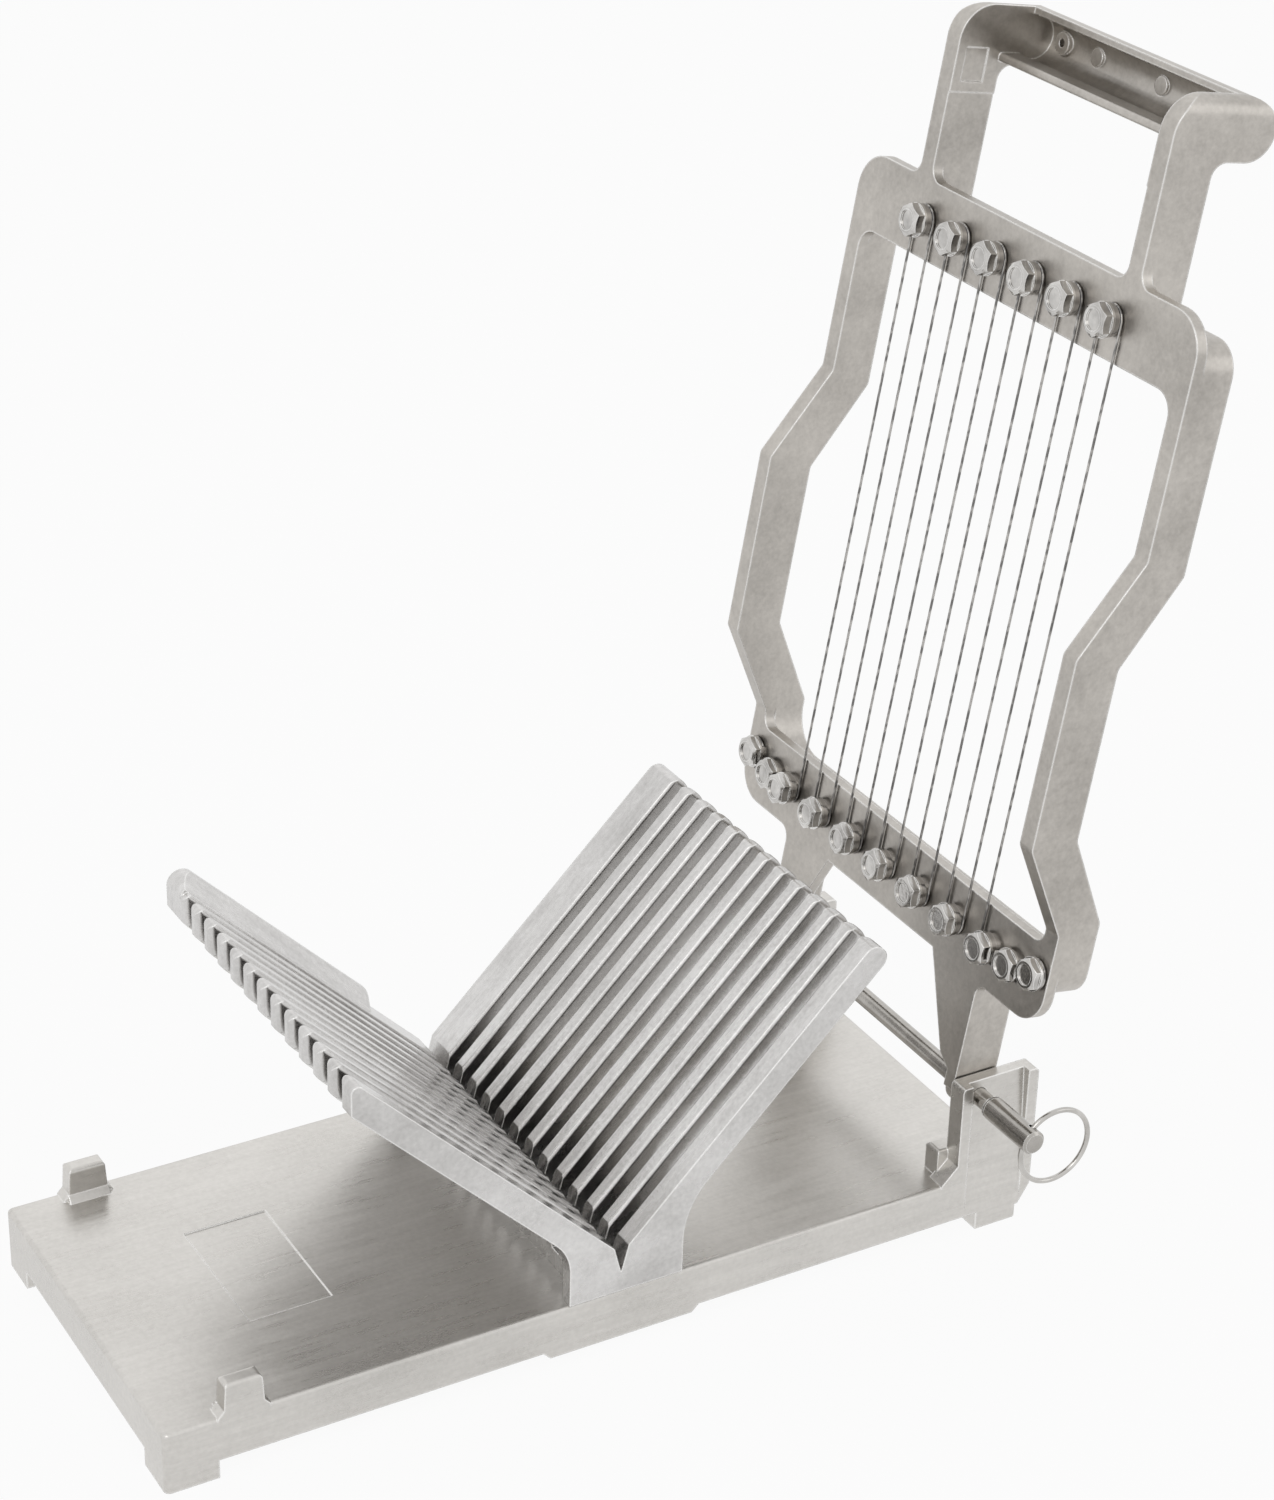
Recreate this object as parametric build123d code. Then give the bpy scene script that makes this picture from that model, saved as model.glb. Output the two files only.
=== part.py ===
from build123d import *
from math import atan2, cos, degrees, radians, sin, sqrt, tan
import os

# Wire butter slicer: a tray base with a slotted V cradle and a hinged frame strung with wire.
# X runs from the front of the tray to its rear, Y across it and Z up, with the ground at Z = 0.
# The parts are drawn about the middle of the tray and then moved together, so that the origin
# lies on the ground under the middle of the whole slicer.

# ---- general ----
OVERLAP = 1.0
REACH = 400.0

# ---- tray ----
TRAY_LENGTH = 304.0
TRAY_WIDTH = 130.0
HALF_LENGTH = TRAY_LENGTH / 2
HALF_WIDTH = TRAY_WIDTH / 2
TRAY_TOP = 21.4
PLATE_THICKNESS = 4.5
PLATE_BOTTOM = TRAY_TOP - PLATE_THICKNESS
SKIRT_BOTTOM = 6.5
SKIRT_WALL = 5.0
DEEP_SKIRT_BOTTOM = 4.0
DEEP_SKIRT_FRONT = -25.6
DEEP_SKIRT_REAR = 30.3
TRAY_CORNER = 2.0
TRAY_EDGE = 1.4
FOOT_WIDTH = 16.0
FRONT_FOOT_LENGTH = 17.4
REAR_FOOT_LENGTH = 16.7
REAR_FOOT_REACH = 1.5
LUG_SETBACK = 20.0
LUG_LENGTH = 12.0
LUG_WIDTH = 6.0
LUG_HEIGHT = 11.4
LUG_EDGE = 1.4
LUG_FOOT_RUN = 2.6
LUG_FOOT_RISE = 2.2
LUG_DRAFT = 0.6
PANEL_SETBACK = 45.0
PANEL_LENGTH = 28.0
PANEL_HALF_WIDTH = 25.5
PANEL_DEPTH = 0.4
RIB_THICKNESS = 4.0
RIB_BOTTOM = 9.0
RIB_POSITIONS = (-76.0, 72.0)

# ---- hinge ----
PIVOT_SETBACK = 15.8
PIVOT_X = HALF_LENGTH - PIVOT_SETBACK
PIVOT_Z = 51.2
LEAN = 9.4
PIN_RADIUS = 3.0
PIN_CLEARANCE = 0.08
PIN_HOLE_RADIUS = PIN_RADIUS + PIN_CLEARANCE

# ---- brackets ----
BRACKET_THICKNESS = 7.0
BRACKET_INNER = HALF_WIDTH - BRACKET_THICKNESS
BRACKET_WEB = 4.0
BRACKET_SETBACK = 24.0
BRACKET_LENGTH = 29.8
BRACKET_FRONT = HALF_LENGTH - BRACKET_SETBACK
BRACKET_REAR = BRACKET_FRONT + BRACKET_LENGTH
BRACKET_TOP = 57.2
BRACKET_TOE = 6.0
BRACKET_HEEL = 12.0
BRACKET_LOW = 5.0
BRACKET_CORNER = 1.5
FLANGE_THICKNESS = 4.0
POCKET_RUNOUT = 8.0
STEP_LENGTH = 8.0
STEP_HEIGHT = 9.6
STEP_WIDTH = 6.0
STEP_EDGE = 1.2

# ---- cradle ----
CREASE_X = 1.5
CREASE_Z = 35.5
FRONT_SPAN = 91.4
REAR_SPAN = 88.0
CRADLE_THICKNESS = 9.0
CRADLE_DROP = CRADLE_THICKNESS * sqrt(2)
CRADLE_OVERHANG = 6.0
TIP_ROUND = 4.2
FRONT_TIP_ROUND = 2.2
SLOT_WIDTH = 4.5
SLOT_PITCH = 10.0
SLOT_COUNT = 12
SLOT_DEPTH = 7.5
SLOT_BOTTOM = CREASE_Z - SLOT_DEPTH
FINGER_ROUND = 1.4
FINGER_TIP_ROUND = 2.1
GROOVE_WIDTH = 5.0
GROOVE_DEPTH = 7.0
CHEEK_THICKNESS = 5.0
CHEEK_FRONT = -16.6
CHEEK_REAR = 23.7
PEDESTAL_FRONT = -11.0
PEDESTAL_FILLET_FRONT = 6.0
PEDESTAL_FILLET_REAR = 10.0
LEDGE_REAR = -24.0
LEDGE_HEIGHT = 4.3
LEDGE_WIDTH = 11.0
LEDGE_TOP_WIDTH = 2.0
LEDGE_TIP_ROUND = 4.8
LEDGE_EDGE = 1.5
CRADLE_SCREW_X = (-4.0, 15.0)
CRADLE_SCREW_Y = (-40.0, 40.0)
CRADLE_SCREW_RADIUS = 2.0
CRADLE_SCREW_BITE = 5.2
CRADLE_SCREW_HEAD_RADIUS = 3.8
CRADLE_SCREW_HEAD_HEIGHT = 3.0
CRADLE_SCREW_SOCKET_RADIUS = 1.7
CRADLE_SCREW_SOCKET_DEPTH = 2.0
SCREW_CLEARANCE = 0.1
SCREW_BOSS_RADIUS = 6.0
SCREW_BOSS_BOTTOM = 12.0

# ---- wire frame; u runs up the frame from the pivot, n forward from it ----
FACE = 7.5
FRAME_PLATE = 4.0
FRAME_BACK = FACE - FRAME_PLATE
SCREW_PAIRS = SLOT_COUNT // 2
ANCHOR_SPACING = 12.0
FRAME_EDGE = 6.0
ANCHOR_INNER_Y = SCREW_PAIRS * SLOT_PITCH + ANCHOR_SPACING
ANCHOR_OUTER_Y = ANCHOR_INNER_Y + ANCHOR_SPACING
FRAME_HALF_WIDTH = ANCHOR_OUTER_Y + FRAME_EDGE
ARM_THICKNESS = 6.5
ARM_INNER = FRAME_HALF_WIDTH - ARM_THICKNESS
TOP_BAR_LOW = 248.4
TOP_BAR_HIGH = 273.6
TOP_CORNER = 13.0
BOTTOM_BAR_LOW = 40.0
BOTTOM_BAR_HIGH = 67.4
BOTTOM_CORNER = 11.5
WINDOW_CORNER = 7.0
LOW_WINDOW_CORNER = 4.5
RIM_LOW = 49.0
RIM_HIGH = 265.5
RIM_CORNER = 9.7
RIM_WINDOW_LOW = 60.3
RIM_WINDOW_HIGH = 257.7
RIM_WINDOW_CORNER = 14.0
ARM_BACK = -8.0
BOW_FRONT = 26.0
BOW_BACK = 9.0
BOW_FRONT_U = (73.2, 104.2, 167.7, 198.2)
BOW_BACK_U = (76.7, 106.5, 163.8, 193.2)
BOW_BEND = 3.0
LEG_GAP = 0.5
LEG_WEB = 5.0
LEG_OUTER = BRACKET_INNER - LEG_GAP
LEG_INNER = LEG_OUTER - LEG_WEB
LEG_BACK = -8.6
LEG_END_RADIUS = 6.5
LEG_TOP_U = RIM_LOW + OVERLAP
LEG_FILLET = 4.5
GUSSET_TOP_RUN = 20.6
GUSSET_LOW_RUN = 5.2
GUSSET_LOW_U = 9.2
GUSSET_LIP = 4.0
HEEL_FRONT_N = -5.2

# ---- handle ----
HANDLE_ARM_INNER = 51.8
HANDLE_ARM_WIDTH = 6.5
HANDLE_ARM_OUTER = HANDLE_ARM_INNER + HANDLE_ARM_WIDTH
HANDLE_ARM_BACK = -10.2
HANDLE_BEND = 12.0
HANDLE_INNER_BEND = 5.0
HANDLE_FILLET = 5.0
HANDLE_PAD = 0.4
HANDLE_PAD_U = 302.5
HANDLE_PANEL_N = (-4.5, 4.0)
HANDLE_PANEL_U = (306.0, 317.0)
HANDLE_PANEL_DEPTH = 0.5
HANDLE_ROUND = 5.8
HANDLE_RIB_DROP = 10.0
GRIP_U = 321.55
GRIP_N = -21.35
GRIP_RADIUS = 9.65
GRIP_WALL = 2.2
GRIP_BORE = GRIP_RADIUS - GRIP_WALL
GRIP_TOP_LIP_N = -19.5
GRIP_LOW_LIP_N = -9.0
GRIP_LIP_U = 313.0
GRIP_LIP_THICKNESS = 2.8
GRIP_LIP_ROUND = 1.1
EJECTOR_MARKS_Y = (-38.0, -6.4, 26.6)
EJECTOR_MARK_RADIUS = 3.0
EJECTOR_MARK_DEPTH = 1.0
GRIP_BOSS_Y = 44.0
GRIP_BOSS_RADIUS = 3.6
GRIP_BOSS_HEIGHT = 1.9
GRIP_BOSS_HOLE_RADIUS = 1.3
GRIP_BOSS_HOLE_DEPTH = 2.6

# ---- screws and the wire they hold ----
SCREW_RADIUS = 2.5
SCREW_HOLE_RADIUS = SCREW_RADIUS + SCREW_CLEARANCE
HEAD_FLATS = 9.8
HEAD_HEIGHT = 3.3
ANCHOR_HEAD_HEIGHT = 2.6
HEAD_BEVEL = 33.0
HEAD_BEVEL_INSET = 0.6
HEAD_DISH_RADIUS = 3.4
HEAD_DISH_DEPTH = 0.6
FLANGE_RADIUS = 5.6
FLANGE_HEIGHT = 0.9
GROOVE_RADIUS = 4.5
GROOVE_HEIGHT = 1.5
RIM_RADIUS = 5.3
RIM_HEIGHT = 2.0
GROOVE_FACE = FACE + GROOVE_HEIGHT
COLLAR_FACE = GROOVE_FACE + RIM_HEIGHT
WIRE_N = FACE + 0.75
WIRE_RADIUS = 0.42
WIRE_TURN = SLOT_PITCH / 2
WIRE_TAIL_TURN = 215.0
TOP_SCREW_U = 260.8
TOP_SCREW_Y = [(2 * i + 1 - SCREW_PAIRS) * SLOT_PITCH for i in range(SCREW_PAIRS)]
BOTTOM_SCREW_U = 54.5
BOTTOM_SCREW_Y = [(2 * i - SCREW_PAIRS) * SLOT_PITCH for i in range(SCREW_PAIRS + 1)]
ANCHOR_OUTER_U = 57.5
ANCHOR_INNER_U = 54.4

# ---- pin and ring ----
PIN_STANDOUT = 3.0
PIN_SHOULDER_GAP = 4.5
PIN_HEAD_LENGTH = 24.0
PIN_END_Y = HALF_WIDTH + PIN_STANDOUT
PIN_SHOULDER_Y = -HALF_WIDTH - PIN_SHOULDER_GAP
PIN_HEAD_END_Y = PIN_SHOULDER_Y - PIN_HEAD_LENGTH
PIN_HEAD_RADIUS = 4.1
PIN_COLLAR_LENGTH = 0.4
PIN_NECK_RADIUS = 3.5
PIN_NECK_LENGTH = 1.2
PIN_END_CHAMFER = 1.0
PIN_HEAD_CHAMFER = 0.8
RING_HOLE_SETBACK = 19.9
RING_HOLE_Y = PIN_SHOULDER_Y - RING_HOLE_SETBACK
RING_HOLE_RADIUS = 1.5
RING_WIRE_RADIUS = 0.9
RING_RADIUS = 13.1
RING_TILT = 30.0
RING_OFFSET = 0.3


def block(x_range, y_range, z_range):
    """A box between two corners."""
    size = [b - a for a, b in (x_range, y_range, z_range)]
    centre = [(a + b) / 2 for a, b in (x_range, y_range, z_range)]
    return Pos(*centre) * Box(*size)


def rounded_block(x_range, y_range, z_range, radius):
    """A box with its upright edges rounded."""
    return fillet(block(x_range, y_range, z_range).edges().filter_by(Axis.Z), radius)


def outline_xz(points):
    """A face in the XZ plane from (x, z) corners."""
    return make_face(Polyline(*[(x, 0, z) for x, z in points], close=True))


def draw_y(face, y_low, y_high):
    """Draw an XZ face out along Y between two places."""
    return Pos(0, y_low, 0) * extrude(face, amount=y_high - y_low, dir=(0, 1, 0))


def slab_y(points, y_low, y_high):
    """(x, z) corners drawn out along Y between two places."""
    return draw_y(outline_xz(points), y_low, y_high)


def slab_x(points, x_low, x_high):
    """(y, z) corners drawn out along X between two places."""
    face = make_face(Polyline(*[(x_low, y, z) for y, z in points], close=True))
    return extrude(face, amount=x_high - x_low, dir=(1, 0, 0))


def rod_y(radius, x, z, y_low, y_high):
    """A round rod along Y."""
    rod = Cylinder(radius, y_high - y_low, rotation=(90, 0, 0))
    return Pos(x, (y_low + y_high) / 2, z) * rod


def on_side(shape, side):
    """The shape drawn on the far side, or its mirror image on the near side."""
    return shape if side > 0 else mirror(shape, about=Plane.XZ)


# ---------------------------------------------------------------- tray
def tray_shell():
    """The plate with its skirt round four sides."""
    length = (-HALF_LENGTH, HALF_LENGTH)
    width = (-HALF_WIDTH, HALF_WIDTH)
    body = rounded_block(length, width, (SKIRT_BOTTOM, TRAY_TOP), TRAY_CORNER)
    body = fillet(body.faces().sort_by(Axis.Z)[-1].edges(), TRAY_EDGE)
    deep = block((DEEP_SKIRT_FRONT, DEEP_SKIRT_REAR), width, (DEEP_SKIRT_BOTTOM, PLATE_BOTTOM))
    deep = chamfer(deep.edges().filter_by(Axis.Y).group_by(Axis.Z)[0], SKIRT_BOTTOM - DEEP_SKIRT_BOTTOM)
    inner_l = HALF_LENGTH - SKIRT_WALL
    inner_w = HALF_WIDTH - SKIRT_WALL
    hollow = rounded_block((-inner_l, inner_l), (-inner_w, inner_w), (0, PLATE_BOTTOM), TRAY_CORNER)
    return body + deep - hollow


def tray_feet():
    """Four feet at the corners."""
    rear_end = HALF_LENGTH + REAR_FOOT_REACH
    width = (-HALF_WIDTH, HALF_WIDTH)
    height = (-OVERLAP, REACH)
    body = rounded_block((-HALF_LENGTH, rear_end), width, (0, PLATE_BOTTOM), TRAY_CORNER)
    between = (-HALF_LENGTH + FRONT_FOOT_LENGTH, rear_end - REAR_FOOT_LENGTH)
    body -= block(between, (-REACH, REACH), height)
    inside = (-HALF_WIDTH + FOOT_WIDTH, HALF_WIDTH - FOOT_WIDTH)
    return body - block((-REACH, REACH), inside, height)


def tray_ribs():
    """Two ribs across the underside."""
    width = (-HALF_WIDTH + OVERLAP, HALF_WIDTH - OVERLAP)
    height = (RIB_BOTTOM, TRAY_TOP - OVERLAP)
    return [block((x - RIB_THICKNESS / 2, x + RIB_THICKNESS / 2), width, height) for x in RIB_POSITIONS]


def screw_bosses():
    """The bosses under the plate that the cradle's screws pass through."""
    height = TRAY_TOP - OVERLAP - SCREW_BOSS_BOTTOM
    return [Pos(x, y, SCREW_BOSS_BOTTOM + height / 2) * Cylinder(SCREW_BOSS_RADIUS, height)
            for x in CRADLE_SCREW_X for y in CRADLE_SCREW_Y]


def rest_lug(side):
    """A lug that the lowered frame's side arm comes down on."""
    front = -HALF_LENGTH + LUG_SETBACK
    rear = front + LUG_LENGTH
    inner = HALF_WIDTH - LUG_WIDTH
    foot_z = TRAY_TOP + LUG_FOOT_RISE
    lug = slab_y((
        (front - LUG_FOOT_RUN, TRAY_TOP - OVERLAP),
        (front - LUG_FOOT_RUN, TRAY_TOP),
        (front - LUG_DRAFT, foot_z),
        (front, TRAY_TOP + LUG_HEIGHT),
        (rear, TRAY_TOP + LUG_HEIGHT),
        (rear + LUG_DRAFT, foot_z),
        (rear + LUG_FOOT_RUN, TRAY_TOP),
        (rear + LUG_FOOT_RUN, TRAY_TOP - OVERLAP),
    ), inner, HALF_WIDTH)
    lug = fillet(lug.faces().sort_by(Axis.Z)[-1].edges(), LUG_EDGE)
    foot = (
        (inner - LUG_FOOT_RISE, TRAY_TOP),
        (inner, foot_z),
        (inner + OVERLAP, foot_z),
        (inner + OVERLAP, TRAY_TOP),
    )
    lug += slab_x(foot, front - OVERLAP, rear + OVERLAP)
    lug += block((front, rear), (inner, HALF_WIDTH), (PLATE_BOTTOM, TRAY_TOP + OVERLAP))
    return on_side(lug, side)


def bracket(side):
    """A hinge bracket and the low step beside it."""
    foot_front = HALF_LENGTH + REAR_FOOT_REACH - REAR_FOOT_LENGTH
    body = slab_y((
        (BRACKET_FRONT - BRACKET_TOE, TRAY_TOP - OVERLAP),
        (BRACKET_FRONT - BRACKET_TOE, TRAY_TOP),
        (BRACKET_FRONT, TRAY_TOP + BRACKET_TOE),
        (BRACKET_FRONT, BRACKET_TOP),
        (BRACKET_REAR, BRACKET_TOP),
        (BRACKET_REAR, BRACKET_HEEL),
        (HALF_LENGTH + REAR_FOOT_REACH, BRACKET_LOW),
        (foot_front, BRACKET_LOW),
        (foot_front, TRAY_TOP - OVERLAP),
    ), BRACKET_INNER, HALF_WIDTH)
    body = fillet(body.edges().filter_by(Axis.Y).sort_by(Axis.Z)[-2:], BRACKET_CORNER)
    step_x = (BRACKET_FRONT - STEP_LENGTH / 2, BRACKET_FRONT + STEP_LENGTH / 2)
    step_y = (BRACKET_INNER - STEP_WIDTH, BRACKET_INNER + OVERLAP)
    step = block(step_x, step_y, (TRAY_TOP - OVERLAP, TRAY_TOP + STEP_HEIGHT))
    body += fillet(step.faces().sort_by(Axis.Z)[-1].edges(), STEP_EDGE)
    return on_side(body, side)


def bracket_pocket(side):
    """The tapered hollow in a bracket's outer face, between its two flanges."""
    floor_y = BRACKET_INNER + BRACKET_WEB
    outside = HALF_WIDTH + OVERLAP
    pocket = slab_x((
        (floor_y, BRACKET_TOP + OVERLAP),
        (floor_y, BRACKET_TOP),
        (HALF_WIDTH, POCKET_RUNOUT),
        (outside, POCKET_RUNOUT),
        (outside, BRACKET_TOP + OVERLAP),
    ), BRACKET_FRONT + FLANGE_THICKNESS, BRACKET_REAR - FLANGE_THICKNESS)
    return on_side(pocket, side)


def cradle_screw_holes(z_low, z_high):
    """Clearance holes for the four screws that hold the cradle."""
    middle = (z_low + z_high) / 2
    return [Pos(x, y, middle) * Cylinder(CRADLE_SCREW_RADIUS + SCREW_CLEARANCE, z_high - z_low)
            for x in CRADLE_SCREW_X for y in CRADLE_SCREW_Y]


def base_casting():
    body = tray_shell() + tray_feet()
    for piece in tray_ribs() + screw_bosses():
        body += piece
    for side in (-1, 1):
        body += rest_lug(side)
        body += bracket(side)
    for side in (-1, 1):
        body -= bracket_pocket(side)
    panel_x = (-HALF_LENGTH + PANEL_SETBACK, -HALF_LENGTH + PANEL_SETBACK + PANEL_LENGTH)
    panel_y = (-PANEL_HALF_WIDTH, PANEL_HALF_WIDTH)
    body -= block(panel_x, panel_y, (TRAY_TOP - PANEL_DEPTH, TRAY_TOP + OVERLAP))
    body -= rod_y(PIN_HOLE_RADIUS, PIVOT_X, PIVOT_Z, -TRAY_WIDTH, TRAY_WIDTH)
    for hole in cradle_screw_holes(0, TRAY_TOP + OVERLAP):
        body -= hole
    return body


# ---------------------------------------------------------------- cradle
def panel_height(x, drop=0.0):
    """Height of the panels' upper faces at x, or of a line below them."""
    return CREASE_Z - drop + abs(x - CREASE_X)


def cradle_profile():
    """The two panels of the V, seen from the side."""
    shift = CRADLE_THICKNESS / sqrt(2)
    front = CREASE_X - FRONT_SPAN
    rear = CREASE_X + REAR_SPAN
    face = outline_xz((
        (CREASE_X, CREASE_Z),
        (front, panel_height(front)),
        (front, panel_height(front, CRADLE_DROP)),
        (CREASE_X, CREASE_Z - CRADLE_DROP),
        (rear + shift, panel_height(rear) - shift),
        (rear, panel_height(rear)),
    ))
    face = fillet(face.vertices().group_by(Axis.X)[0].sort_by(Axis.Z)[-1:], FRONT_TIP_ROUND)
    return fillet([v for v in face.vertices() if v.X > rear - OVERLAP], TIP_ROUND)


def pedestal_profile(front):
    """The block under the crease, with fillets running out under both panels."""
    run_front = PEDESTAL_FILLET_FRONT * tan(radians(67.5)) / 2
    run_rear = PEDESTAL_FILLET_REAR * tan(radians(67.5)) / 2
    z_front = panel_height(front, CRADLE_DROP)
    z_rear = panel_height(CHEEK_REAR, CRADLE_DROP)
    start_front = (front, 0, z_front - run_front)
    start_rear = (CHEEK_REAR, 0, z_rear - run_rear)
    end_front = (front - run_front / sqrt(2), 0, z_front + run_front / sqrt(2))
    end_rear = (CHEEK_REAR + run_rear / sqrt(2), 0, z_rear + run_rear / sqrt(2))
    return make_face([
        Line((front, 0, TRAY_TOP), start_front),
        TangentArc(start_front, end_front, tangent=(0, 0, 1)),
        Polyline(end_front, (CREASE_X, 0, CREASE_Z - CRADLE_THICKNESS / 2), end_rear),
        TangentArc(start_rear, end_rear, tangent=(0, 0, 1)),
        Line(start_rear, (CHEEK_REAR, 0, TRAY_TOP)),
        Line((CHEEK_REAR, 0, TRAY_TOP), (front, 0, TRAY_TOP)),
    ])


def slot_places():
    """Where the slots' middles lie across the cradle."""
    return [(i - (SLOT_COUNT - 1) / 2) * SLOT_PITCH for i in range(SLOT_COUNT)]


def cradle_slots():
    """One cutter for each slot, open at both tips and down through the crease."""
    front = CREASE_X - FRONT_SPAN - 2 * CRADLE_THICKNESS
    rear = CREASE_X + REAR_SPAN + 2 * CRADLE_THICKNESS
    top = panel_height(front) + TRAY_WIDTH
    corners = (
        (front, top),
        (front, panel_height(front, 2 * CRADLE_DROP)),
        (CHEEK_FRONT - OVERLAP, SLOT_BOTTOM),
        (CHEEK_REAR + OVERLAP, SLOT_BOTTOM),
        (rear, panel_height(rear, 2 * CRADLE_DROP)),
        (rear, top),
    )
    return [slab_y(corners, y - SLOT_WIDTH / 2, y + SLOT_WIDTH / 2) for y in slot_places()]


def slot_mouth(place, radius, length):
    """A cutter that rounds the two fingers beside a slot; the slot lies across the place's X."""
    wide = SLOT_WIDTH / 2 + radius
    face = Pos(0, (OVERLAP - radius) / 2) * Rectangle(2 * wide, radius + OVERLAP)
    for side in (-1, 1):
        face -= Pos(side * wide, -radius) * Circle(radius)
    return extrude(place * face, amount=length)


def finger_rounding(y):
    """Cutters that round the fingers beside one slot: along both panels' faces and at both tips."""
    crease = Vector(CREASE_X, y, CREASE_Z)
    up_front = Vector(-1, 0, 1) / sqrt(2)
    up_rear = Vector(1, 0, 1) / sqrt(2)
    front_tip = Vector(CREASE_X - FRONT_SPAN, y, panel_height(CREASE_X - FRONT_SPAN) + OVERLAP)
    rear_tip = crease + up_rear * REAR_SPAN * sqrt(2) + up_front * OVERLAP
    start = GROOVE_WIDTH / 4
    drop = CRADLE_DROP + 2 * OVERLAP
    return [
        slot_mouth(Plane(crease + up_front * start, (0, -1, 0), up_front), FINGER_ROUND, 2 * FRONT_SPAN),
        slot_mouth(Plane(crease + up_rear * start, (0, 1, 0), up_rear), FINGER_ROUND, 2 * REAR_SPAN),
        slot_mouth(Plane(front_tip, (0, -1, 0), (0, 0, -1)), FINGER_TIP_ROUND, drop),
        slot_mouth(Plane(rear_tip, (0, 1, 0), up_front * -1), FINGER_TIP_ROUND, drop),
    ]


def crease_groove():
    """The narrow groove along the crease, open at both ends."""
    half = GROOVE_WIDTH / 2
    corners = (
        (CREASE_X - half, CREASE_Z + GROOVE_WIDTH),
        (CREASE_X - half, CREASE_Z + half),
        (CREASE_X, CREASE_Z - GROOVE_DEPTH),
        (CREASE_X + half, CREASE_Z + half),
        (CREASE_X + half, CREASE_Z + GROOVE_WIDTH),
    )
    return slab_y(corners, -TRAY_WIDTH, TRAY_WIDTH)


def side_ledge():
    """The raised edge along the far end of the front panel, sloping down inwards."""
    rise = LEDGE_HEIGHT / sqrt(2)
    front = CREASE_X - FRONT_SPAN
    outer = HALF_WIDTH + CRADLE_OVERHANG
    inner = outer - LEDGE_WIDTH
    ledge = slab_y((
        (front, panel_height(front, CRADLE_DROP - OVERLAP)),
        (front, panel_height(front) + 2 * rise),
        (LEDGE_REAR + rise, panel_height(LEDGE_REAR) + rise),
        (LEDGE_REAR - OVERLAP, panel_height(LEDGE_REAR) - OVERLAP),
    ), inner, outer)
    top_edges = ledge.edges().filter_by(Axis.Y).sort_by(Axis.Z)
    ledge = fillet(top_edges[-1:], LEDGE_TIP_ROUND)
    ledge = fillet(ledge.edges().filter_by(Axis.Y).sort_by(Axis.X)[-1:], LEDGE_EDGE)
    section = []
    for y, height in ((inner, -CRADLE_THICKNESS), (inner, 0), (outer - LEDGE_TOP_WIDTH, LEDGE_HEIGHT),
                      (outer + OVERLAP, LEDGE_HEIGHT), (outer + OVERLAP, -CRADLE_THICKNESS)):
        along = height / sqrt(2)
        section.append((front + along, y, panel_height(front) + along))
    slope = extrude(make_face(Polyline(*section, close=True)), amount=REACH, dir=(1, 0, -1), both=True)
    return ledge & slope


def cradle():
    far_end = HALF_WIDTH + CRADLE_OVERHANG
    body = draw_y(cradle_profile(), -HALF_WIDTH, far_end)
    body += draw_y(pedestal_profile(PEDESTAL_FRONT), -HALF_WIDTH + OVERLAP, HALF_WIDTH - OVERLAP)
    for y_low in (-HALF_WIDTH, HALF_WIDTH - CHEEK_THICKNESS):
        body += draw_y(pedestal_profile(CHEEK_FRONT), y_low, y_low + CHEEK_THICKNESS)
    body += side_ledge()
    for cutter in cradle_slots():
        body -= cutter
    for y in slot_places():
        for cutter in finger_rounding(y):
            body -= cutter
    body -= crease_groove()
    for hole in cradle_screw_holes(TRAY_TOP - OVERLAP, TRAY_TOP + CRADLE_SCREW_BITE + SCREW_CLEARANCE):
        body -= hole
    return body


def cradle_screw(x, y):
    """A socket screw that comes up through the plate into the cradle."""
    tip = TRAY_TOP + CRADLE_SCREW_BITE
    shank = Cylinder(CRADLE_SCREW_RADIUS, tip - SCREW_BOSS_BOTTOM)
    shank = Pos(x, y, (SCREW_BOSS_BOTTOM + tip) / 2) * shank
    head = Cylinder(CRADLE_SCREW_HEAD_RADIUS, CRADLE_SCREW_HEAD_HEIGHT)
    socket = extrude(RegularPolygon(CRADLE_SCREW_SOCKET_RADIUS, 6), amount=CRADLE_SCREW_SOCKET_DEPTH)
    head -= Pos(0, 0, -CRADLE_SCREW_HEAD_HEIGHT / 2) * socket
    return shank + Pos(x, y, SCREW_BOSS_BOTTOM - CRADLE_SCREW_HEAD_HEIGHT / 2) * head


# ---------------------------------------------------------------- frame casting
def frame_points(points):
    """(n, u) corners of the frame as (x, z) of its own upright drawing."""
    return [(-n, u) for n, u in points]


def place_frame(shape):
    """Stand the frame's upright drawing on the pivot, leaning back."""
    return Pos(PIVOT_X, 0, PIVOT_Z) * Rot(0, LEAN, 0) * shape


def frame_front(y_u_points):
    """A face in the frame's front plate from (y, u) corners."""
    return make_face(Polyline(*[(0, y, u) for y, u in y_u_points], close=True))


def draw_n(face, n_low, n_high):
    """Draw a front-plate face out between two depths."""
    return Pos(-n_low, 0, 0) * extrude(face, amount=n_high - n_low, dir=(-1, 0, 0))


def along_n(radius, y, u, n_low, n_high):
    """A round rod square to the front plate."""
    rod = Cylinder(radius, n_high - n_low, rotation=(0, 90, 0))
    return Pos(-(n_low + n_high) / 2, y, u) * rod


def front_rectangle(half_width, u_low, u_high, low_corner, high_corner):
    """A rectangle in the front plate with its lower and upper corners rounded."""
    corners = ((-half_width, u_low), (half_width, u_low), (half_width, u_high), (-half_width, u_high))
    face = frame_front(corners)
    face = fillet(face.vertices().sort_by(Axis.Z)[:2], low_corner)
    return fillet(face.vertices().sort_by(Axis.Z)[-2:], high_corner)


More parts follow.
